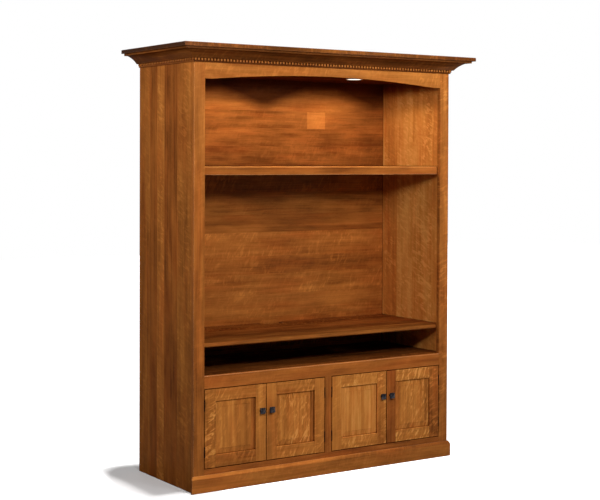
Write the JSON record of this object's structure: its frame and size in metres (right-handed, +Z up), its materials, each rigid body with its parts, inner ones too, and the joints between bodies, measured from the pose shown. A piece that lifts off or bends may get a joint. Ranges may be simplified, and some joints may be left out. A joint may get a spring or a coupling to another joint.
{
  "type": "entertainment wall unit",
  "caption": "Tall oak face-frame cabinet with an arched display niche, television bay, component bay, crown and inset panel doors.",
  "frame": {"origin": "on the floor, under the middle of the whole unit with its crown", "axes": "+Z up, -Y out of the front, +X to the right of someone who faces the front"},
  "size_m": [1.7, 0.667, 2.083],
  "materials": {
    "oak_solid": "satin varnish",
    "oak_side": "satin varnish",
    "oak_veneer": "satin varnish",
    "oak_door_panel": "satin varnish",
    "oak_crown": "satin varnish",
    "dark_bronze": "satin",
    "black_plastic": "matte",
    "zinc_steel": "satin",
    "white_plastic": "gloss",
    "frosted_glass": "frosted"
  },
  "bodies": {
    "carcass": {"left_side_panel": "oak_side", "right_side_panel": "oak_side", "left_frame_stile": "oak_solid", "right_frame_stile": "oak_solid", "arched_top_rail": "oak_solid", "mid_rail": "oak_solid", "bottom_rail": "oak_solid", "centre_mullion": "oak_solid", "top_panel": "oak_veneer", "upper_shelf": "oak_solid", "upper_shelf_nosing": "oak_solid", "tv_shelf": "oak_solid", "component_deck": "oak_solid", "bottom_panel": "oak_solid", "centre_partition": "oak_solid", "upper_back_panel": "oak_veneer", "tv_back_panel": "oak_veneer", "lower_back_panel": "oak_veneer", "crown_cap": "oak_crown", "crown_front": "oak_crown", "crown_left": "oak_crown", "crown_right": "oak_crown", "dentil_front": "oak_crown", "dentil_left": "oak_crown", "dentil_right": "oak_crown", "base_moulding": "oak_solid", "left_adjustable_shelf": "oak_solid", "right_adjustable_shelf": "oak_solid", "shelf_pins": "zinc_steel", "puck_light_housings": "white_plastic", "puck_light_lenses": "frosted_glass", "hinge_frame_leaves": "dark_bronze", "hinge_pins": "dark_bronze", "magnetic_catches": "black_plastic"},
    "left_outer_door": {"left_outer_hinge_stile": "oak_solid", "left_outer_meeting_stile": "oak_solid", "left_outer_rails": "oak_solid", "left_outer_panel": "oak_door_panel", "left_outer_knob": "dark_bronze", "left_outer_hinge_leaves": "dark_bronze"},
    "left_inner_door": {"left_inner_hinge_stile": "oak_solid", "left_inner_meeting_stile": "oak_solid", "left_inner_rails": "oak_solid", "left_inner_panel": "oak_door_panel", "left_inner_knob": "dark_bronze", "left_inner_hinge_leaves": "dark_bronze"},
    "right_inner_door": {"right_inner_hinge_stile": "oak_solid", "right_inner_meeting_stile": "oak_solid", "right_inner_rails": "oak_solid", "right_inner_panel": "oak_door_panel", "right_inner_knob": "dark_bronze", "right_inner_hinge_leaves": "dark_bronze"},
    "right_outer_door": {"right_outer_hinge_stile": "oak_solid", "right_outer_meeting_stile": "oak_solid", "right_outer_rails": "oak_solid", "right_outer_panel": "oak_door_panel", "right_outer_knob": "dark_bronze", "right_outer_hinge_leaves": "dark_bronze"}
  },
  "joints": [
    {"name": "left_outer_door_hinge", "type": "hinge", "parent": "carcass", "child": "left_outer_door", "pos_m": [-0.6911, -0.2335, 0.2935], "axis": [0, 0, -1], "range_deg": [0, 110]},
    {"name": "left_inner_door_hinge", "type": "hinge", "parent": "carcass", "child": "left_inner_door", "pos_m": [-0.0209, -0.2335, 0.2935], "axis": [0, 0, 1], "range_deg": [0, 88]},
    {"name": "right_inner_door_hinge", "type": "hinge", "parent": "carcass", "child": "right_inner_door", "pos_m": [0.0209, -0.2335, 0.2935], "axis": [0, 0, -1], "range_deg": [0, 88]},
    {"name": "right_outer_door_hinge", "type": "hinge", "parent": "carcass", "child": "right_outer_door", "pos_m": [0.6911, -0.2335, 0.2935], "axis": [0, 0, 1], "range_deg": [0, 110]}
  ]
}
